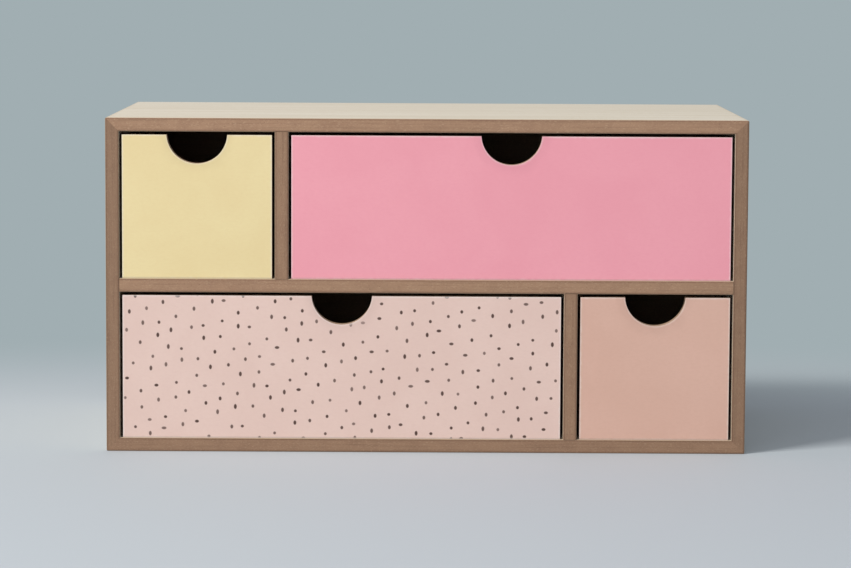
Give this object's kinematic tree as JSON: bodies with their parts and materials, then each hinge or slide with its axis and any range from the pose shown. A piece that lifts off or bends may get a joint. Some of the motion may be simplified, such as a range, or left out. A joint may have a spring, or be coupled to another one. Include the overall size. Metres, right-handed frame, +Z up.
{
  "type": "desk organizer",
  "caption": "Small wooden desk organizer: a case with a shelf and dividers holding sliding drawers with half-round finger notches and coloured fronts.",
  "frame": {"origin": "middle of the base, on the surface that the organizer stands on", "axes": "+X to the right along the long side, drawers open towards -Y, +Z up"},
  "size_m": [0.33, 0.18, 0.1725],
  "materials": {
    "case_board": "pale veneered fibreboard with bare brown cut edges",
    "thin_plywood": "thin bare plywood",
    "drawer_board": "bare fibreboard, fine sanded",
    "steel_pins": "bright drawn wire",
    "yellow_facing": "pale yellow facing paper, matt",
    "pink_facing": "pink facing paper, matt",
    "dotted_facing": "pale pinkish beige facing paper with small printed specks, matt",
    "tan_facing": "dusty tan facing paper, matt"
  },
  "bodies": {
    "case": {"case_left_side": "case_board", "case_right_side": "case_board", "case_bottom": "case_board", "case_top": "case_board", "case_shelf": "case_board", "case_upper_divider": "case_board", "case_lower_divider": "case_board", "case_back_panel": "thin_plywood", "case_back_pins": "steel_pins"},
    "upper_narrow_drawer": {"upper_narrow_drawer_front": "drawer_board", "upper_narrow_drawer_facing": "yellow_facing", "upper_narrow_drawer_left_side": "drawer_board", "upper_narrow_drawer_right_side": "drawer_board", "upper_narrow_drawer_back": "drawer_board", "upper_narrow_drawer_bottom": "thin_plywood", "upper_narrow_drawer_pins": "steel_pins"},
    "upper_wide_drawer": {"upper_wide_drawer_front": "drawer_board", "upper_wide_drawer_facing": "pink_facing", "upper_wide_drawer_left_side": "drawer_board", "upper_wide_drawer_right_side": "drawer_board", "upper_wide_drawer_back": "drawer_board", "upper_wide_drawer_bottom": "thin_plywood", "upper_wide_drawer_pins": "steel_pins"},
    "lower_wide_drawer": {"lower_wide_drawer_front": "drawer_board", "lower_wide_drawer_facing": "dotted_facing", "lower_wide_drawer_left_side": "drawer_board", "lower_wide_drawer_right_side": "drawer_board", "lower_wide_drawer_back": "drawer_board", "lower_wide_drawer_bottom": "thin_plywood", "lower_wide_drawer_pins": "steel_pins"},
    "lower_narrow_drawer": {"lower_narrow_drawer_front": "drawer_board", "lower_narrow_drawer_facing": "tan_facing", "lower_narrow_drawer_left_side": "drawer_board", "lower_narrow_drawer_right_side": "drawer_board", "lower_narrow_drawer_back": "drawer_board", "lower_narrow_drawer_bottom": "thin_plywood", "lower_narrow_drawer_pins": "steel_pins"}
  },
  "joints": [
    {"name": "upper_narrow_drawer_slide", "type": "slide", "parent": "case", "child": "upper_narrow_drawer", "axis": [0, -1, 0], "range_m": [0, 0.15]},
    {"name": "upper_wide_drawer_slide", "type": "slide", "parent": "case", "child": "upper_wide_drawer", "axis": [0, -1, 0], "range_m": [0, 0.15]},
    {"name": "lower_wide_drawer_slide", "type": "slide", "parent": "case", "child": "lower_wide_drawer", "axis": [0, -1, 0], "range_m": [0, 0.15]},
    {"name": "lower_narrow_drawer_slide", "type": "slide", "parent": "case", "child": "lower_narrow_drawer", "axis": [0, -1, 0], "range_m": [0, 0.15]}
  ]
}
